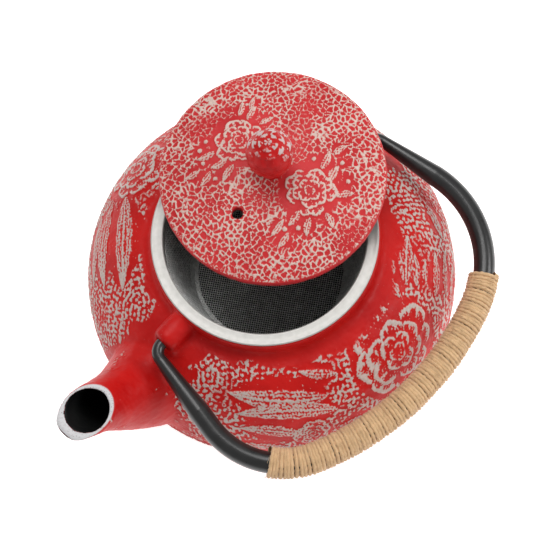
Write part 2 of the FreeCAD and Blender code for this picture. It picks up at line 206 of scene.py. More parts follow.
def write_object(name, points, faces, material, smooth=True, values=None):
    """A mesh object from points in millimetres and an array or list of faces."""
    mesh = bpy.data.meshes.new(name)
    points = np.asarray(points, float)
    if isinstance(faces, np.ndarray):
        sides = faces.shape[1]
        mesh.vertices.add(len(points))
        mesh.vertices.foreach_set("co", (points * MM).astype(np.float32).ravel())
        mesh.loops.add(faces.size)
        mesh.loops.foreach_set("vertex_index", faces.astype(np.int32).ravel())
        mesh.polygons.add(len(faces))
        mesh.polygons.foreach_set("loop_start", np.arange(len(faces), dtype=np.int32) * sides)
        mesh.update(calc_edges=True)
    else:
        mesh.from_pydata([tuple(p) for p in points * MM], [], faces)
    mesh.validate()
    mesh.polygons.foreach_set("use_smooth", [smooth] * len(mesh.polygons))
    for key, data in (values or {}).items():
        layer = mesh.attributes.new(key, "FLOAT", "POINT")
        layer.data.foreach_set("value", np.asarray(data, np.float32))
    mesh.materials.append(material)
    obj = bpy.data.objects.new(name, mesh)
    bpy.context.scene.collection.objects.link(obj)
    return obj


def fit_out(obj, body, slot, *nodes):
    """Put a piece on the body that it rides on and hide the CAD nodes that it stands for; slot is not used.
    """
    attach(obj, body)
    if nodes:
        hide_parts(*nodes)
    return obj


def node_points(node):
    """The points of a CAD node."""
    mesh = frame["nodes"][node].data
    co = np.zeros(len(mesh.vertices) * 3, np.float32)
    mesh.vertices.foreach_get("co", co)
    return co.reshape(-1, 3).astype(float) / MM


def bail_hinge():
    """Where the bail's hinge line crosses the middle of the pot, in metres."""
    joint = next(j for j in frame["joints"] if j["name"] == "handle_swing")
    return Vector(joint["pos_m"])


def voxel_copy(node, voxel):
    """A CAD node as one even net of small four-sided faces."""
    bm = bmesh.new()
    bm.from_mesh(frame["nodes"][node].data)
    bmesh.ops.remove_doubles(bm, verts=bm.verts, dist=1e-6)
    mesh = bpy.data.meshes.new("coarse")
    bm.to_mesh(mesh)
    bm.free()
    obj = bpy.data.objects.new("coarse", mesh)
    bpy.context.scene.collection.objects.link(obj)
    remesh = obj.modifiers.new("even", "REMESH")
    remesh.mode = "VOXEL"
    remesh.voxel_size = voxel * MM
    fine = bpy.data.meshes.new_from_object(obj.evaluated_get(bpy.context.evaluated_depsgraph_get()))
    bpy.data.objects.remove(obj)
    points = np.zeros(len(fine.vertices) * 3, np.float32)
    fine.vertices.foreach_get("co", points)
    loops = np.zeros(len(fine.loops), np.int32)
    fine.loops.foreach_get("vertex_index", loops)
    bpy.data.meshes.remove(fine)
    return points.reshape(-1, 3).astype(float) / MM, loops.reshape(-1, 4)


def relax(points, quads, rounds):
    """Even out the small steps that a voxel net leaves."""
    a = quads.ravel()
    b = np.roll(quads, -1, axis=1).ravel()
    size = len(points)
    count = np.bincount(a, minlength=size) + np.bincount(b, minlength=size)
    for _ in range(rounds):
        total = np.stack([np.bincount(a, points[b, k], size) + np.bincount(b, points[a, k], size)
                          for k in range(3)], 1)
        points = points * 0.5 + total / count[:, None] * 0.5
    return points


def normals_of(points, quads):
    """Unit normal at every point of a net of four-sided faces."""
    face = np.cross(points[quads[:, 2]] - points[quads[:, 0]], points[quads[:, 3]] - points[quads[:, 1]])
    total = np.stack([sum(np.bincount(quads[:, c], face[:, k], len(points)) for c in range(4))
                      for k in range(3)], 1)
    return total / np.maximum(np.linalg.norm(total, axis=1), 1e-9)[:, None]


def part_of(points, quads, keep, values=None):
    """The faces whose four corners count as kept on average, with their own points."""
    chosen = quads[keep[quads].mean(axis=1) > 0.5]
    used, index = np.unique(chosen, return_inverse=True)
    picked = {key: data[used] for key, data in (values or {}).items()}
    return points[used], index.reshape(-1, 4), picked


def thin_out(obj, share):
    """Fewer faces where nothing fine is seen."""
    bpy.context.view_layer.objects.active = obj
    cut = obj.modifiers.new("thin", "DECIMATE")
    cut.ratio = share
    bpy.ops.object.modifier_apply(modifier=cut.name)


def step(low, high, x):
    """A smooth rise from 0 at low to 1 at high."""
    t = np.clip((x - low) / (high - low), 0, 1)
    return t * t * (3 - 2 * t)


def ripples(points, wave, seed, count=40, flat=False):
    """A random field with one wavelength, about unit strength; its crests are worm shapes."""
    rng = np.random.default_rng(seed)
    total = np.zeros(len(points))
    for _ in range(count):
        d = rng.normal(size=3)
        if flat:
            d[2] = 0
        d *= 2 * math.pi / wave / np.linalg.norm(d)
        total += np.cos(points @ d + rng.uniform(0, 2 * math.pi))
    return total / math.sqrt(count / 2)


def grain(points, wave, seed):
    """Softer random field made of three wavelengths."""
    return (ripples(points, wave, seed, 12) + ripples(points, wave * 0.53, seed + 1, 12) * 0.6
            + ripples(points, wave * 0.29, seed + 2, 12) * 0.4) / 1.23


def cell_borders(uv, size, seed):
    """Distance across to the nearest border between random cells, as a share of the cell size."""
    rng = np.random.default_rng(seed)
    tile = 128
    far = 9.0
    jitter = rng.uniform(0.08, 0.92, size=(tile, tile, 2))
    base = np.floor(uv / size).astype(int)
    first = np.full(len(uv), far)
    second = np.full(len(uv), far)
    for dx in (-1, 0, 1):
        for dy in (-1, 0, 1):
            cell = base + (dx, dy)
            seeds = cell + jitter[cell[:, 0] % tile, cell[:, 1] % tile]
            gap = np.linalg.norm(uv / size - seeds, axis=1)
            second = np.where(gap < first, first, np.minimum(second, gap))
            first = np.minimum(first, gap)
    return second - first


# ---------------- relief motifs

def petal(uv, centre, facing, deep, wide, phase):
    """Height and brushed share, both 0 to 1, of one round cupped petal whose lip faces outwards."""
    rel = uv - centre
    x = (rel @ facing) / deep
    y = (rel @ np.array([-facing[1], facing[0]])) / wide
    around = np.arctan2(y, x)
    q = np.hypot(x, y) * (1 + 0.05 * np.cos(5 * around + phase))
    inside = 1 - step(0.9, 1.04, q)
    outward = step(-0.35, 0.35, x)
    veins = np.cos(y * 9.0 + phase)
    height = inside * np.clip(0.25 + 0.65 * q ** 2 * outward + 0.06 * veins, 0, 1)
    worn = 0.5 + 0.5 * np.cos(around * 2 + phase)
    lip = step(0.45 + 0.25 * worn, 0.85, q) * outward * (0.6 + 0.4 * worn)
    vein_silver = 0.42 * step(0.1, 0.9, veins) * step(-0.2, 0.5, x)
    return height, inside * np.clip(lip + vein_silver + 0.2 * outward, 0, 1)


def flower(uv, radius, seed):
    """Height and brushed share of a peony: rings of cupped petals, the inner rings on top."""
    rng = np.random.default_rng(seed)
    height = np.zeros(len(uv))
    catch = np.zeros(len(uv))
    for ring, (count, out, size) in enumerate(PEONY_RINGS):
        start = rng.uniform(0, 2 * math.pi)
        for i in range(count):
            a = start + 2 * math.pi * i / count + rng.uniform(-0.25, 0.25)
            lean = a + rng.uniform(-0.45, 0.45)
            facing = np.array([math.cos(lean), math.sin(lean)])
            big = radius * size * rng.uniform(0.8, 1.2)
            centre = np.array([math.cos(a), math.sin(a)]) * radius * out * rng.uniform(0.85, 1.08)
            raised, caught = petal(uv, centre, facing, big, big * rng.uniform(1.0, 1.2), rng.uniform(0, 6))
            on_top = raised > 0.04
            height = np.where(on_top, np.maximum(raised * 0.85 + 0.1 * ring, height * 0.3), height)
            catch = np.where(on_top, caught, catch)
    return height, catch


def leaf(uv, start, end, width, bend, seed=0):
    """Height and brushed share of a long pointed leaf with a midrib and veins that follow its length."""
    start, end = np.array(start, float), np.array(end, float)
    along = end - start
    length = np.linalg.norm(along)
    along /= length
    across = np.array([-along[1], along[0]])
    rel = uv - start
    s = (rel @ along) / length
    inside_s = np.clip(s, 0, 1)
    t = rel @ across - bend * 4 * inside_s * (1 - inside_s)
    half = width * np.sin(math.pi * inside_s ** 0.85) ** 0.8 + 0.05
    half = half * (1 + 0.06 * np.cos(inside_s * 40 + seed))
    edge = 1 - np.abs(t) / half
    inside = step(0.0, 0.22, edge) * (s > 0) * (s < 1)
    rib = np.exp(-(t / 0.4) ** 2)
    veins = np.cos(4.5 * math.pi * t / (half + 0.4) + 0.5 * np.sin(inside_s * 11 + seed))
    rim = 1 - step(0.12, 0.4, edge)
    height = inside * np.clip(0.5 + 0.2 * rim + 0.3 * rib + 0.13 * veins, 0, 1)
    tip = step(0.6, 0.95, inside_s)
    return height, inside * np.clip(0.42 + 0.45 * rim + 0.3 * rib + 0.2 * veins + 0.3 * tip, 0, 1)


class Patch:
    """A flat chart laid on the pot's skin at an azimuth and height: u runs round the pot, v runs uphill."""

    FAR = 400  # keeps the chart's middle off the pot's other side and its inner skin
    DEEP = -0.62  # skin this far behind the chart, as a share of its reach, isn't on it

    def __init__(self, points, normals, azimuth, z):
        a = math.radians(azimuth)
        spoke = points[:, :2] @ np.array([math.cos(a), math.sin(a)])
        sideways = points[:, :2] @ np.array([-math.sin(a), math.cos(a)])
        inner_skin = normals[:, 0] * math.cos(a) + normals[:, 1] * math.sin(a) < 0.05
        gap = (points[:, 2] - z) ** 2 + sideways ** 2
        near = np.argmin(gap + self.FAR * (spoke < 0) + self.FAR * inner_skin)
        self.centre = points[near]
        self.n = normals[near] / np.linalg.norm(normals[near])
        self.u = np.cross((0, 0, 1), self.n)
        self.u /= np.linalg.norm(self.u)
        self.v = np.cross(self.n, self.u)
        self.points = points

    def flat(self, place):
        """Chart place of one point of the skin."""
        rel = place - self.centre
        size = math.hypot(rel @ self.u, rel @ self.v)
        stretch = np.linalg.norm(rel) / max(size, 1e-6)
        return np.array([rel @ self.u, rel @ self.v]) * stretch

    def chart(self, reach):
        """The skin's points within reach of the chart's middle, and their places on the chart."""
        rel = self.points - self.centre
        depth = rel @ self.n
        span = np.linalg.norm(rel, axis=1)
        near = np.nonzero((span < reach) & (depth > self.DEEP * reach))[0]
        flat = np.stack([rel[near] @ self.u, rel[near] @ self.v], 1)
        size = np.linalg.norm(flat, axis=1)
        stretch = span[near] / np.maximum(size, 1e-6)
        return near, flat * stretch[:, None]


class Relief:
    """Adds motifs to a skin: raised height, how much silver catches, and where the worms keep away."""

    def __init__(self, points, normals):
        self.points = points
        self.normals = normals
        self.height = np.zeros(len(points))
        self.picked = np.zeros(len(points))
        self.ground = np.zeros(len(points))

    def stamp(self, near, shape, catch, scale, ground):
        """Lay one motif over what is there; the higher one wins."""
        self.height[near] = np.maximum(self.height[near], shape * scale)
        self.picked[near] = np.maximum(self.picked[near], catch)
        self.ground[near] = np.maximum(self.ground[near], ground)

    def flower(self, azimuth, z, radius, seed):
        near, uv = Patch(self.points, self.normals, azimuth, z).chart(radius * 1.5)
        shape, catch = flower(uv, radius, seed)
        gap = np.linalg.norm(uv, axis=1)
        self.stamp(near, shape, catch, PETAL_H, 1 - step(radius * 1.0, radius * 1.18, gap))

    def leaf(self, start, end, width, bend, seed):
        """A leaf from one place to another, each an azimuth and a height on the pot."""
        middle = ((start[0] + end[0]) / 2, (start[1] + end[1]) / 2)
        patch = Patch(self.points, self.normals, *middle)
        tail, tip = (patch.flat(Patch(self.points, self.normals, *place).centre) for place in (start, end))
        near, uv = patch.chart(np.linalg.norm(tip - tail) * 0.5 + 2.5 * width)
        shape, catch = leaf(uv, tail, tip, width, bend, seed)
        wide = leaf(uv, tail, tip, width * LEAF_GROUND, bend, seed)[0]
        self.stamp(near, shape, catch, LEAF_H, step(0.02, 0.3, wide))


# ---------------- materials

def new_material(name):
    """A material with its node tree and its shader."""
    material = bpy.data.materials.new(name)
    material.use_nodes = True
    tree = material.node_tree
    return material, tree, tree.nodes["Principled BSDF"]


def link(tree, source, target):
    """Join an output socket to an input socket."""
    tree.links.new(source, target)


def noise_node(tree, scale, detail=3.0, rough=0.55):
    """Noise fixed to the object; the scale is in cells per metre."""
    coords = tree.nodes.new("ShaderNodeTexCoord")
    noise = tree.nodes.new("ShaderNodeTexNoise")
    noise.inputs["Scale"].default_value = scale
    noise.inputs["Detail"].default_value = detail
    noise.inputs["Roughness"].default_value = rough
    link(tree, coords.outputs["Object"], noise.inputs["Vector"])
    return noise


def ramp_node(tree, source, stops):
    """Colours picked by a value, from stops of a place and a colour."""
    ramp = tree.nodes.new("ShaderNodeValToRGB")
    elements = ramp.color_ramp.elements
    while len(elements) < len(stops):
        elements.new(0.5)
    for element, (place, colour) in zip(elements, stops):
        element.position = place
        element.color = (*colour, 1.0)
    link(tree, source, ramp.inputs["Fac"])
    return ramp


def mix_node(tree, factor, first, second):
    """A blend of two colours; each input is a socket to link or a plain value."""
    mix = tree.nodes.new("ShaderNodeMix")
    mix.data_type = "RGBA"
    for key, value in (("Factor", factor), ("A", first), ("B", second)):
        socket = mix.inputs[key]
        if isinstance(value, bpy.types.NodeSocket):
            link(tree, value, socket)
        else:
            socket.default_value = value
    return mix.outputs["Result"]


def bump_node(tree, shader, height, distance, strength=0.4):
    """Fine unevenness of a finish; the distance is in metres."""
    bump = tree.nodes.new("ShaderNodeBump")
    bump.inputs["Distance"].default_value = distance
    bump.inputs["Strength"].default_value = strength
    link(tree, height, bump.inputs["Height"])
    link(tree, bump.outputs["Normal"], shader.inputs["Normal"])


def grey(value):
    return (value, value, value)


def painted_iron(name, red, deep, brushed):
    """Red paint over sand-cast iron; a silver or pale brush has caught the raised places."""
    material, tree, shader = new_material(name)
    drift = noise_node(tree, 55.0, 4.0)
    paint = ramp_node(tree, drift.outputs["Fac"], ((0.3, deep), (0.62, red)))
    metal = ramp_node(tree, noise_node(tree, 900.0, 2.0).outputs["Fac"],
                      ((0.3, tuple(c * 0.8 for c in brushed)), (0.7, brushed)))
    caught = tree.nodes.new("ShaderNodeAttribute")
    caught.attribute_name = "brushed"
    pores = tree.nodes.new("ShaderNodeMath")
    pores.operation = "ADD"
    link(tree, caught.outputs["Fac"], pores.inputs[0])
    link(tree, noise_node(tree, 1300.0, 1.0).outputs["Fac"], pores.inputs[1])
    speckled = tree.nodes.new("ShaderNodeMapRange")
    speckled.inputs["From Min"].default_value = SPECKLE[0]
    speckled.inputs["From Max"].default_value = SPECKLE[1]
    link(tree, pores.outputs["Value"], speckled.inputs["Value"])
    colour = mix_node(tree, speckled.outputs["Result"], paint.outputs["Color"], metal.outputs["Color"])
    bare = tree.nodes.new("ShaderNodeAttribute")
    bare.attribute_name = "bare"
    iron = ramp_node(tree, noise_node(tree, 1500.0, 2.0).outputs["Fac"],
                     ((0.3, (0.3, 0.26, 0.26)), (0.42, (0.64, 0.63, 0.64))))
    finish = mix_node(tree, bare.outputs["Fac"], colour, iron.outputs["Color"])
    link(tree, finish, shader.inputs["Base Color"])
    rough = ramp_node(tree, noise_node(tree, 260.0).outputs["Fac"], ((0.3, grey(0.36)), (0.7, grey(0.5))))
    link(tree, rough.outputs["Color"], shader.inputs["Roughness"])
    shader.inputs["Specular IOR Level"].default_value = 0.2
    bump_node(tree, shader, noise_node(tree, 2100.0, 3.0).outputs["Fac"], 0.00012, 0.5)
    return material


def inside_enamel():
    """Glossy black enamel with a faint ripple."""
    material, tree, shader = new_material("black_inside_enamel")
    tone = ramp_node(tree, noise_node(tree, 90.0).outputs["Fac"], ((0.3, grey(0.004)), (0.75, grey(0.012))))
    link(tree, tone.outputs["Color"], shader.inputs["Base Color"])
    shader.inputs["Roughness"].default_value = 0.3
    bump_node(tree, shader, noise_node(tree, 700.0).outputs["Fac"], 0.0002, 0.35)
    return material


def tube_enamel():
    """Black stoved enamel with a little orange peel."""
    material, tree, shader = new_material("black_tube_enamel")
    tone = ramp_node(tree, noise_node(tree, 120.0).outputs["Fac"], ((0.3, grey(0.008)), (0.75, grey(0.017))))
    link(tree, tone.outputs["Color"], shader.inputs["Base Color"])
    rough = ramp_node(tree, noise_node(tree, 340.0).outputs["Fac"], ((0.3, grey(0.27)), (0.75, grey(0.38))))
    link(tree, rough.outputs["Color"], shader.inputs["Roughness"])
    shader.inputs["Coat Weight"].default_value = 0.25
    shader.inputs["Coat Roughness"].default_value = 0.18
    bump_node(tree, shader, noise_node(tree, 620.0, 2.0).outputs["Fac"], 0.0001, 0.35)
    return material


def satin_steel(name, dark, light, roughness, metallic):
    """Pressed or drawn steel with a fine mottle between two tones."""
    material, tree, shader = new_material(name)
    tone = ramp_node(tree, noise_node(tree, 420.0, 3.0).outputs["Fac"], ((0.3, dark), (0.7, light)))
    link(tree, tone.outputs["Color"], shader.inputs["Base Color"])
    shader.inputs["Metallic"].default_value = metallic
    shader.inputs["Roughness"].default_value = roughness
    bump_node(tree, shader, noise_node(tree, 1600.0, 2.0).outputs["Fac"], 0.00008, 0.3)
    return material


def jute(name, dark, light):
    """Straw-coloured plant fibre."""
    material, tree, shader = new_material(name)
    tone = ramp_node(tree, noise_node(tree, 330.0, 4.0, 0.7).outputs["Fac"], ((0.28, dark), (0.72, light)))
    fibre = noise_node(tree, 2600.0, 3.0, 0.7)
    streak = mix_node(tree, fibre.outputs["Fac"], tone.outputs["Color"], (*light, 1.0))
    link(tree, streak, shader.inputs["Base Color"])
    shader.inputs["Roughness"].default_value = 0.85
    shader.inputs["Specular IOR Level"].default_value = 0.2
    shader.inputs["Sheen Weight"].default_value = 0.25
    bump_node(tree, shader, fibre.outputs["Fac"], 0.0003, 0.7)
    return material


# ---------------- pot

def outline_radius(points):
    """The pot's outer radius by height, read off its two sides away from spout and ears."""
    half_strip = 8.0
    slice_h = 0.5
    side = points[np.abs(points[:, 0]) < half_strip]
    bins = np.round(side[:, 2] / slice_h).astype(int)
    reach = np.zeros(bins.max() + 1)
    np.maximum.at(reach, np.clip(bins, 0, None), np.hypot(side[:, 0], side[:, 1]))
    known = reach > 0
    return np.nonzero(known)[0] * slice_h, reach[known]


def pot_zones(points, normals):
    """Which points are on the pot's outside, and how far each is on the spout's bare cut rim."""
    z_line, r_line = outline_radius(points)
    x, y, z = points.T
    r = np.hypot(x, y)
    skin_r = np.interp(z, z_line, r_line)
    cut_z = z[x > SPOUT_X].max()
    tip = points[(x > SPOUT_X) & (z > cut_z - 0.4)].mean(axis=0)
    axis_x, axis_z = zip(*SPOUT_AXIS, (tip[0] + SPOUT_AXIS_PAST, tip[2] + SPOUT_AXIS_PAST))
    on_axis = np.stack([x, np.zeros(len(points)), np.interp(x, axis_x, axis_z)], 1)
    away = points - on_axis
    beyond = r > skin_r + SKIN_SLACK
    bore = beyond & ((normals * away).sum(axis=1) < 0) & (x > SPOUT_AXIS[0][0]) & (np.abs(y) < SPOUT_HALF_W)
    bore &= z < cut_z - sum(CUT_DEPTH) / 2
    inside = (r < skin_r - WALL / 2) & (z > INSIDE_LOW_Z) & ~beyond
    rim = step(cut_z - CUT_DEPTH[0], cut_z - CUT_DEPTH[1], z) * (x > SPOUT_X)
    return ~(inside | bore), rim


def plain_zones(points):
    """How plain the red is, 0 to 1: round the neck, the spout's root and the two ears."""
    x, y, z = points.T
    never = 99.0
    wider = np.clip(np.cos(np.arctan2(y, x) - math.radians(NECK_MORE_AT)), 0, 1) ** 2
    past_neck = np.hypot(x, y) - (NECK_R + NECK_MORE * wider) + grain(points, 16.0, 31)
    neck = (1 - step(*NECK_ZONE, past_neck)) * (z > NECK_LOW_Z)
    spout_gap = np.hypot(y, (z - SPOUT_ZONE_AT[1]) * 0.8) + 1.5 * np.clip(SPOUT_ZONE_AT[0] - x, 0, never)
    ear_gap = np.where(x > 0, np.abs(y), never) + 2.2 * np.clip(EAR_ZONE_Z - z, 0, never)
    far_ear_gap = np.where(x < 0, np.abs(y), never) + 2.2 * np.clip(FAR_EAR_ZONE_Z - z, 0, never)
    wander = 3.0 * grain(points, 14.0, 41)
    zones = ((SPOUT_ZONE, spout_gap), (EAR_ZONE, ear_gap), (FAR_EAR_ZONE, far_ear_gap))
    return np.maximum.reduce([neck] + [1 - step(*zone, gap + wander) for zone, gap in zones])


def pot_relief(points, normals):
    """Worms over the casting, and peonies and leaves on smooth ground: height and brushed share."""
    relief = Relief(points, normals)
    for motif in PEONIES:
        relief.flower(*motif)
    for seed, blade in enumerate(BLADES):
        relief.leaf(*blade, seed)
    z = points[:, 2]
    plain = plain_zones(points)
    foot = step(6.0, 10.0, z)
    seam = 1 - np.exp(-((z - SEAM_Z) / 2.4) ** 2)
    wormy = (1 - plain) * (1 - relief.ground) * foot * seam
    worms = step(-0.2, 0.4, ripples(points, WORM_WAVE, 5, 56))
    height = WORM_H * worms * wormy + relief.height * (1 - plain * 0.85) * foot
    fleck = ripples(points, 1.15, 77, 40)
    patchy = step(-1.6, 0.3, grain(points, 30.0, 52))
    on_worms = step(0.35, 0.85, worms * wormy) * step(-1.9, -0.7, fleck) * (0.55 + 0.45 * patchy)
    on_motif = step(0.2, 0.75, relief.picked + 0.2 * fleck) * (1 - plain) * (0.8 + 0.2 * patchy)
    on_seam = np.exp(-((z - SEAM_BRUSHED_Z) / 0.5) ** 2) * step(-0.3, 0.6, fleck) * 0.7
    brushed = np.maximum.reduce([on_worms, on_motif, on_seam])
    return height, np.clip(brushed, 0, 1) * foot


def soften_ears(points, quads):
    """Take the voxel steps off the ears' round faces, which stay plain, but not out of their bores."""
    x, y, z = points.T
    soft = relax(points, quads, 30)
    near_ear = step(*EAR_X, np.abs(x)) * (1 - step(*EAR_Y, np.abs(y)))
    near_ear *= step(*EAR_Z, z) * (np.hypot(y, z - bail_hinge().z / MM) > EAR_BORE_R)
    return points + (soft - points) * near_ear[:, None]


def make_pot():
    """The casting as two painted outer halves and its enamelled inside."""
    points, quads = voxel_copy("pot_body", BODY_VOXEL)
    points = soften_ears(relax(points, quads, 3), quads)
    normals = normals_of(points, quads)
    outside, rim = pot_zones(points, normals)
    height, brushed = pot_relief(points, normals)
    height = height * outside * (1 - rim)
    height += 0.05 * grain(points, 7.0, 61) * outside
    moved = points + normals * height[:, None]
    values = {"brushed": brushed * (1 - rim), "bare": rim}
    upper = points[:, 2] >= SEAM_Z
    paint = painted_iron("red_painted_iron", *POT_PAINT)
    for name, half in (("pot_shoulder_and_spout", upper), ("pot_bowl_and_foot", ~upper)):
        skin, faces, picked = part_of(moved, quads, outside & half, values)
        obj = write_object(name, skin, faces, paint, values=picked)
        fit_out(obj, "pot", "painted_iron", "pot_body")
    hidden, faces, _ = part_of(points, quads, ~outside)
    obj = write_object("pot_inside_enamel", hidden, faces, inside_enamel())
    thin_out(obj, POT_INSIDE_FACES)
    fit_out(obj, "pot", "painted_iron", "pot_body")


# ---------------- lid and knob

def lid_spray(uv, place, radius, seed, blades, berries):
    """Height, brushed share and smooth ground of one spray: a peony, its leaves and its berries."""
    rel = uv - np.array(place)
    bloom, caught = flower(rel, radius, seed)
    layers = [(bloom, caught, 1 - step(radius * 1.05, radius * 1.3, np.linalg.norm(rel, axis=1)))]
    for i, (start, end, width, bend) in enumerate(blades):
        blade, caught = leaf(rel, start, end, width, bend, i)
        wide = leaf(rel, start, end, width * LID_LEAF_GROUND, bend, i)[0]
        layers.append((blade, caught, step(0.02, 0.3, wide)))
    for x, y, size in berries:
        gap = np.hypot(rel[:, 0] - x, rel[:, 1] - y)
        bead = np.sqrt(np.clip(1 - (gap / size) ** 2, 0, 1))
        layers.append((bead * 0.9, step(0.3, 0.7, bead), 1 - step(size * 1.8, size * 3.0, gap)))
    return np.maximum.reduce(layers)


def lid_network(points, uv):
    """Raised borders of random cells, with warped and here and there broken lines."""
    warp = np.stack([ripples(points, 5.0, 91, 14, True), ripples(points, 5.0, 92, 14, True)], 1) * 0.28
    border = cell_borders(uv + warp, CELL, 17)
    line_w = NETWORK_LINE + 0.04 * ripples(points, 18.0, 93, 10, True)
    network = 1 - step(line_w * 0.75, line_w * 1.5, border)
    broken = step(-1.3, -0.6, ripples(points, 3.4, 94, 24, True))
    return network * (0.45 + 0.55 * broken)


def make_lid():
    """The lid as its painted top, with a network and two flower sprays, and its enamelled underside."""
    low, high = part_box("lid")
    centre = np.array([low.x + high.x, low.y + high.y]) / 2 / MM
    radius = (high.x - low.x) / 2 / MM
    points, quads = voxel_copy("lid", LID_VOXEL)
    points = relax(points, quads, 3)
    normals = normals_of(points, quads)
    uv = points[:, :2] - centre
    r = np.linalg.norm(uv, axis=1)
    shapes, catches, ground = np.maximum.reduce([lid_spray(uv, *spray) for spray in LID_SPRAYS])
    climb = points[:, 2] - low.z / MM
    top = (normals[:, 2] > -0.15) & (r > LID_HOLE_R) & (climb > LID_TOP_Z)
    top |= (r > radius - LID_EDGE_W) & (climb > LID_EDGE_Z)
    facing = step(0.55, 0.85, normals[:, 2])
    off_edge = 1 - step(radius - 3.0, radius - 0.6, r)
    net = lid_network(points, uv) * (1 - ground) * facing
    height = (NETWORK_H * net * off_edge + LID_MOTIF_H * shapes * facing) * top
    fleck = ripples(points, 0.95, 97, 36)
    patchy = step(-1.5, 0.7, grain(points, 30.0, 95))
    on_net = net * (0.62 + 0.38 * patchy) * step(-2.4, -1.0, fleck)
    on_motif = step(0.25, 0.75, catches + 0.15 * fleck) * facing
    edge_wear = step(radius - 2.6, radius - 0.8, r) * facing * step(0.0, 1.1, fleck + 0.2) * 0.55
    brushed = np.clip(np.maximum.reduce([on_net * 0.95, on_motif, edge_wear]), 0, 1)
    moved = points + normals * (height + 0.04 * grain(points, 6.0, 62))[:, None]
    values = {"brushed": brushed, "bare": np.zeros(len(points))}
    skin, faces, picked = part_of(moved, quads, top, values)
    # the lid's paint is the pot's made paler and pinker: a painted sheen of the lamp on its top
    obj = write_object("lid_top", skin, faces, painted_iron("red_lid_iron_with_sheen", *LID_PAINT_WITH_SHEEN), values=picked)
    fit_out(obj, "lid", "painted_iron_lid", "lid")
    hidden, faces, _ = part_of(points, quads, ~top)
    obj = write_object("lid_underside", hidden, faces, inside_enamel())
    thin_out(obj, LID_UNDER_FACES)
    fit_out(obj, "lid", "painted_iron_lid", "lid")


def make_knob():
    """A bud with overlapping scales, brushed on its crown; the silver is kept to the top and to the side
    turned to the light, a painted highlight.
    """
    low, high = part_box("lid_knob")
    centre = np.array([low.x + high.x, low.y + high.y]) / 2 / MM
    base_z, top_z = low.z / MM, high.z / MM
    points, quads = voxel_copy("lid_knob", KNOB_VOXEL)
    points = relax(points, quads, 2)
    normals = normals_of(points, quads)
    turn = np.arctan2(points[:, 1] - centre[1], points[:, 0] - centre[0])
    climb = (points[:, 2] - base_z) / (top_z - base_z)
    girth = np.hypot(points[:, 0] - centre[0], points[:, 1] - centre[1])
    on_crown = climb > CROWN_FROM
    crown_row = CROWN_FROM * SCALE_ROWS + (1 - girth / CROWN_R) * CROWN_ROWS
    row = np.where(on_crown, crown_row, climb * SCALE_ROWS)
    k = np.floor(row)
    s = row - k
    scales = np.array(SCALES_ROUND)[np.clip(k - 6, 0, 2).astype(int)]
    across = (turn / (2 * math.pi) * scales + 0.5 * k) % 1.0 - 0.5
    scale = step(0.0, 0.4, 0.56 - np.abs(across) - 0.42 * s ** 2)
    shaped = scale * (1.0 - 0.7 * s) * step(*WAIST, climb)
    outside = (girth > KNOB_HOLE_R) | on_crown
    height = SCALE_H * shaped * outside
    fleck = ripples(points, 1.3, 98, 36)
    # silver only towards the top and the side the light falls on: real brushed silver laid out as a painted
    # highlight
    lit_side_highlight = step(0.5, 0.85, climb + 0.3 * np.cos(turn + 2.6))
    brushed = np.clip(step(0.3, 0.7, shaped + 0.2 * fleck) * lit_side_highlight, 0, 1)
    values = {"brushed": brushed, "bare": np.zeros(len(points))}
    paint = painted_iron("red_knob_iron", *KNOB_PAINT)
    obj = write_object("knob_bud", points + normals * height[:, None], quads, paint, values=values)
    fit_out(obj, "lid", "painted_iron_knob", "lid_knob")


# ---------------- infuser

def lathe(profile, count):
    """Points and faces of a closed outline (radius, height) turned about the Z axis."""
    turn = np.arange(count) * 2 * math.pi / count
    points = [(r * math.cos(a), r * math.sin(a), z) for r, z in profile for a in turn]
    rows = len(profile)
    faces = []
    for i in range(rows):
        j = (i + 1) % rows
        for k in range(count):
            m = (k + 1) % count
            faces.append((i * count + k, i * count + m, j * count + m, j * count + k))
    return np.array(points), np.array(faces)[:, ::-1]


def arc(r, z, wide, tall, first, last):
    """Points along part of an oval round (r, z), from one angle to another in degrees."""
    pieces = 8
    angles = [math.radians(first + (last - first) * i / pieces) for i in range(pieces + 1)]
    return [(r + wide * math.cos(a), z + tall * math.sin(a)) for a in angles]


def make_flange():
    """Pressed ring with a rolled bead at both edges and its collar down into the mouth."""
    low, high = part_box("infuser_flange")
    outer, top, foot = high.x / MM, high.z / MM, low.z / MM
    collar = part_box("infuser_wall_mesh")[1].x / MM
    flat_z = top - FLANGE_DIP
    flat_end = outer - 1.2
    profile = arc(outer - 0.55, top - 0.42, 0.55, 0.52, -90, 90)
    profile += [(flat_end, flat_z), (collar + 2.0, flat_z)]
    profile += arc(collar + 0.55, top - 0.55, 0.75, 0.6, 80, 180)
    profile += [(collar - 0.2, foot + 0.2), (collar, foot), (collar + COLLAR_T - 0.1, foot),
                (collar + COLLAR_T, foot + 0.3), (collar + COLLAR_T, top - FLANGE_T - 0.6),
                (collar + 1.0, top - FLANGE_T), (flat_end, top - FLANGE_T)]
    steel = satin_steel("pale_satin_flange", (0.42, 0.41, 0.385), (0.49, 0.48, 0.455), 0.4, 0.3)
    obj = write_object("infuser_rolled_flange", *lathe(profile, 220), steel)
    fit_out(obj, "infuser", "flange_steel", "infuser_flange")


def tube_faces(rings, sides, closed=False):
    """Four-sided faces of a tube of round rings, each a row of points."""
    i = np.arange(rings if closed else rings - 1)[:, None]
    j = (i + 1) % rings
    k = np.arange(sides)[None, :]
    m = (k + 1) % sides
    quads = np.broadcast_arrays(i * sides + k, i * sides + m, j * sides + m, j * sides + k)
    return np.stack(quads, -1).reshape(-1, 4)


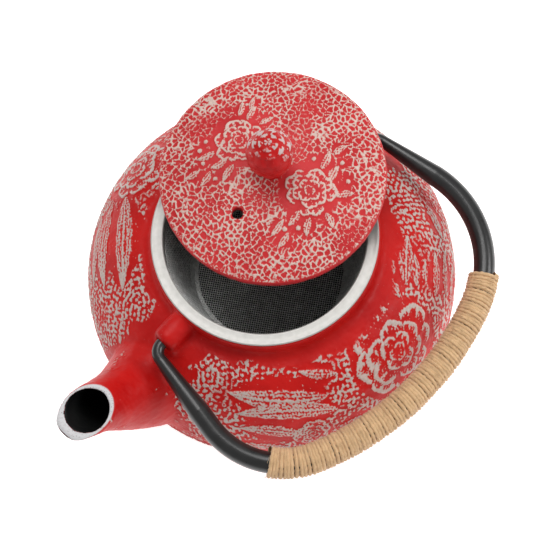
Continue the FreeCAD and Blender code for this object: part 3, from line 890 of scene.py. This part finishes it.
def wires(paths, radius, sides):
    """Thin round wires along open or closed paths of points."""
    all_points, all_faces, base = [], [], 0
    turn = np.arange(sides) * 2 * math.pi / sides
    for path, closed in paths:
        path = np.asarray(path)
        ahead = np.roll(path, -1, axis=0) - np.roll(path, 1, axis=0)
        if not closed:
            ahead[0], ahead[-1] = path[1] - path[0], path[-1] - path[-2]
        ahead /= np.linalg.norm(ahead, axis=1)[:, None]
        side = np.cross(ahead, (0.03, 0.02, 1.0))
        side /= np.linalg.norm(side, axis=1)[:, None]
        lift = np.cross(side, ahead)
        ring = side[:, None, :] * np.cos(turn)[None, :, None] + lift[:, None, :] * np.sin(turn)[None, :, None]
        all_points.append((path[:, None, :] + ring * radius).reshape(-1, 3))
        all_faces.append(tube_faces(len(path), sides, closed)[:, ::-1] + base)
        base += len(path) * sides
    return np.concatenate(all_points), np.concatenate(all_faces)


def make_base_weave(steel):
    """Plain-woven disc: two sets of wires that pass over and under one another."""
    low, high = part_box("infuser_base_mesh")
    radius = high.x / MM - BASE_INSET
    mid_z = (low.z + high.z) / 2 / MM
    paths = []
    count = int(radius / WIRE_PITCH)
    for i in range(-count, count + 1):
        offset = i * WIRE_PITCH
        half = math.sqrt(max(radius ** 2 - offset ** 2, 0.0))
        if half < SHORTEST_WIRE:
            continue
        t = np.arange(-half, half, WIRE_PITCH / 2)
        wave = np.cos(math.pi * t / WIRE_PITCH) * (1 if i % 2 else -1) * WIRE_R
        paths.append((np.stack([np.full_like(t, offset), t, mid_z + wave], 1), False))
        paths.append((np.stack([t, np.full_like(t, offset), mid_z - wave], 1), False))
    points, faces = wires(paths, WIRE_R, WIRE_SIDES)
    points = points @ np.array(Matrix.Rotation(math.radians(BASE_TURN), 3, "Z")).T
    obj = write_object("infuser_base_weave", points, faces, steel)
    fit_out(obj, "infuser", "dark_mesh", "infuser_base_mesh")


def make_wall_weave(steel):
    """Conical woven wall from the flange's collar down to the base ring."""
    low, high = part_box("infuser_wall_mesh")
    top_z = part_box("infuser_flange")[0].z / MM + WALL_TUCK
    low_z = low.z / MM
    top_r = high.x / MM - WALL_INSET
    low_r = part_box("infuser_base_mesh")[1].x / MM - WALL_INSET
    bend_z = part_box("infuser_base_ring")[1].z / MM

    def radius_at(z):
        return np.interp(z, (low_z, bend_z, top_z), (low_r, low_r, top_r))

    uprights = int(2 * math.pi * (top_r + low_r) / 2 / WALL_PITCH) // 2 * 2
    paths = []
    for i in range(uprights):
        a = 2 * math.pi * i / uprights
        z = np.arange(low_z, top_z, WALL_PITCH / 2)
        r = radius_at(z) + np.cos(math.pi * (z - low_z) / WALL_PITCH) * (1 if i % 2 else -1) * WIRE_R
        paths.append((np.stack([r * math.cos(a), r * math.sin(a), z], 1), False))
    a = np.arange(uprights) * 2 * math.pi / uprights
    over = np.where(np.arange(uprights) % 2, -1, 1) * WIRE_R
    for k, z in enumerate(np.arange(low_z, top_z, WALL_PITCH)):
        r = radius_at(z) + over * (1 if k % 2 else -1)
        paths.append((np.stack([r * np.cos(a), r * np.sin(a), np.full_like(a, z)], 1), True))
    obj = write_object("infuser_wall_weave", *wires(paths, WIRE_R, WIRE_SIDES), steel)
    fit_out(obj, "infuser", "dark_mesh", "infuser_wall_mesh")


# ---------------- bail and twine

def bail_centreline():
    """Middle of the bail tube, found by looking out from inside the loop in the bail's own plane."""
    mesh = frame["nodes"]["bail_handle"].data
    tree = BVHTree.FromPolygons([v.co for v in mesh.vertices], [tuple(p.vertices) for p in mesh.polygons])
    hinge = bail_hinge()
    wrap = node_points("handle_wrap")
    far_end = wrap[wrap[:, 1].max() - wrap[:, 1] < 2.0]
    lean = math.atan2(far_end[:, 2].mean() - hinge.z / MM, far_end[:, 1].mean())
    out = Vector((0, math.cos(lean), math.sin(lean)))
    start = hinge + out * LOOK_FROM * MM
    line = []
    for deg in np.arange(-6.0, 186.1, 1.0):
        a = math.radians(deg)
        ray = Vector((math.cos(a), 0, 0)) + out * math.sin(a)
        first = tree.ray_cast(start, ray)[0]
        last = tree.ray_cast(start + ray * LOOK_BACK * MM, -ray)[0]
        if first is not None and last is not None:
            line.append((first + last) / 2)
    line = np.array(line) / MM
    for _ in range(4):
        line[1:-1] = line[1:-1] * 0.5 + (line[2:] + line[:-2]) * 0.25
    plane = np.array(out.cross(Vector((1, 0, 0))))
    return line, plane, wrap


class Winding:
    """The wound stretch of the bail, and places on it: distance along, angle round, radius out."""

    def __init__(self):
        self.line, self.plane, wrap = bail_centreline()
        gap = np.linalg.norm(np.diff(self.line, axis=0), axis=1)
        self.dist = np.concatenate([[0], np.cumsum(gap)])
        covered = np.array([np.linalg.norm(wrap - p, axis=1).min() < WINDING_REACH for p in self.line])
        first, last = np.nonzero(covered)[0][[0, -1]]
        self.begin, self.finish = self.dist[first], self.dist[last]
        to_line = np.linalg.norm(wrap[:, None, :] - self.line[None, first:last:8, :], axis=2)
        self.strand = (min(to_line.min(axis=1).max(), WINDING_R) - TUBE_R) / 2

    def along(self, s):
        """Middle of the tube at a distance along it."""
        return np.stack([np.interp(s, self.dist, self.line[:, k]) for k in range(3)], -1)

    def place(self, s, angle, radius):
        """A place off the tube's middle."""
        centre = self.along(s)
        ahead = self.along(s + 0.5) - centre
        ahead /= np.maximum(np.linalg.norm(ahead, axis=-1), 1e-9)[..., None]
        side = np.cross(ahead, self.plane)
        return (centre + side * (radius * np.cos(angle))[..., None]
                + self.plane * (radius * np.sin(angle))[..., None])


def make_twine(winding):
    """One strand wound turn against turn round the bail, with an uneven lay."""
    strand = winding.strand
    n = int((winding.finish - winding.begin) / TWINE_PITCH * TWINE_STEPS)
    t = np.arange(n) / TWINE_STEPS
    wobble = 0.16 * np.sin(t * 1.7) + 0.16 * np.sin(t * 0.61 + 1.0) + 0.1 * np.sin(t * 6.1)
    s = winding.begin + (t + wobble) * TWINE_PITCH
    lift = strand * (1 + 0.08 * np.sin(t * 2.3) + 0.07 * np.sin(t * 5.9 + 2.0))
    core = winding.place(s, t * 2 * math.pi, TUBE_R + lift)
    run = np.gradient(core, axis=0)
    run /= np.linalg.norm(run, axis=1)[:, None]
    out = core - winding.along(s)
    out /= np.linalg.norm(out, axis=1)[:, None]
    wide = np.cross(run, out)
    turn = np.arange(TWINE_SIDES) * 2 * math.pi / TWINE_SIDES
    ply = 1 + PLY_DEPTH * np.cos(2 * (turn[None, :] - (t * 2 * math.pi * PLY_TWIST)[:, None]))
    ring_out = (np.cos(turn)[None, :] * ply * strand * 0.98)[..., None] * out[:, None, :]
    ring_wide = (np.sin(turn)[None, :] * ply * TWINE_PITCH * 0.58)[..., None] * wide[:, None, :]
    points = (core[:, None, :] + ring_out + ring_wide).reshape(-1, 3)
    straw = jute("jute_strand", (0.34, 0.19, 0.085), (0.84, 0.56, 0.31))
    obj = write_object("twine_winding", points, tube_faces(n, TWINE_SIDES), straw)
    fit_out(obj, "handle", "jute", "handle_wrap")


def make_fibres(winding):
    """Loose hairs that stand off the winding or lie along it."""
    rng = np.random.default_rng(8)
    skin = TUBE_R + 2 * winding.strand - 0.15
    f = np.linspace(0, 1, 6)
    paths = []
    for _ in range(HAIRS):
        start = rng.uniform(winding.begin, winding.finish)
        angle = rng.uniform(0, 2 * math.pi)
        length = rng.uniform(*HAIR_LENGTH)
        curl = rng.uniform(-0.9, 0.9)
        rise = rng.uniform(0.0, 0.3) ** 1.4
        drift = rng.uniform(-0.3, 0.3)
        s = start + length * (drift * f + 0.1 * curl * f ** 2)
        hair = winding.place(s, angle + length * f * 0.16 * np.sign(curl), skin + length * rise * f ** 1.5)
        paths.append((hair, False))
    fluff = jute("jute_fibre", (0.55, 0.34, 0.17), (0.9, 0.66, 0.4))
    obj = write_object("twine_loose_fibres", *wires(paths, HAIR_R, WIRE_SIDES), fluff)
    fit_out(obj, "handle", "jute")


# ---------------- stage

def set_camera():
    """A long lens nearly overhead, turned so that the spout comes down to the left."""
    e, a, roll = (math.radians(d) for d in (CAMERA_ELEVATION, CAMERA_AZIMUTH, CAMERA_ROLL))
    back = Vector((math.sin(a) * math.cos(e), -math.cos(a) * math.cos(e), math.sin(e)))
    right = Vector((math.cos(a), math.sin(a), 0))
    up = back.cross(right)
    x = right * math.cos(roll) + up * math.sin(roll)
    y = up * math.cos(roll) - right * math.sin(roll)
    data = bpy.data.cameras.new("camera")
    data.lens = CAMERA_LENS
    data.sensor_width = 36.0
    data.clip_start = 0.01
    data.clip_end = 20.0
    camera = bpy.data.objects.new("camera", data)
    bpy.context.scene.collection.objects.link(camera)
    place = (Vector(CAMERA_TARGET) + back * CAMERA_DISTANCE) * MM
    turn = Matrix((x, y, back)).transposed()
    camera.matrix_world = Matrix.Translation(place) @ turn.to_4x4()
    bpy.context.scene.camera = camera


def softbox(name, place, side, watts):
    """A square area lamp aimed at the pot."""
    data = bpy.data.lights.new(name, "AREA")
    data.shape = "RECTANGLE"
    data.size, data.size_y = side, side
    data.energy = watts
    lamp = bpy.data.objects.new(name, data)
    bpy.context.scene.collection.objects.link(lamp)
    lamp.location = place
    lamp.rotation_euler = (Vector(LAMP_TARGET) - Vector(place)).to_track_quat("-Z", "Y").to_euler()


def set_stage():
    """White world, two lamps and a glowing floor."""
    world = bpy.data.worlds.new("studio")
    world.use_nodes = True
    sky = world.node_tree.nodes["Background"]
    sky.inputs["Color"].default_value = (1.0, 1.0, 1.0, 1.0)
    sky.inputs["Strength"].default_value = WORLD_LIGHT
    bpy.context.scene.world = world
    softbox("overhead", *OVERHEAD_LAMP)
    softbox("side", *SIDE_LAMP)
    material, _, shader = new_material("pale_floor")
    shader.inputs["Base Color"].default_value = (0.93, 0.93, 0.93, 1.0)
    shader.inputs["Roughness"].default_value = 0.9
    shader.inputs["Emission Color"].default_value = (1.0, 1.0, 1.0, 1.0)
    shader.inputs["Emission Strength"].default_value = FLOOR_GLOW
    corners = [(x * FLOOR_REACH, y * FLOOR_REACH, FLOOR_Z) for x, y in ((-1, -1), (1, -1), (1, 1), (-1, 1))]
    write_object("floor", corners, [(0, 1, 2, 3)], material, smooth=False)
    view = bpy.context.scene.view_settings
    view.view_transform = "Standard"
    view.look = "None"


def finish_cad_nodes(ring_steel):
    """Finishes for the CAD pieces whose plain shape is already the real one."""
    plate = satin_steel("dull_plate", (0.42, 0.42, 0.41), (0.58, 0.58, 0.57), 0.4, 0.9)
    finishes = {"bail_handle": tube_enamel(), "knob_washer": plate, "knob_rivet": plate,
                "infuser_base_ring": ring_steel}
    for node, material in finishes.items():
        obj = frame["nodes"][node]
        obj.data.materials.clear()
        obj.data.materials.append(material)


def main():
    set_camera()
    set_stage()
    make_pot()
    make_lid()
    make_knob()
    make_flange()
    weave = satin_steel("dark_woven_wire", (0.55, 0.55, 0.53), (0.85, 0.85, 0.83), 0.34, 0.5)
    make_base_weave(weave)
    make_wall_weave(weave)
    winding = Winding()
    make_twine(winding)
    make_fibres(winding)
    finish_cad_nodes(weave)


main()
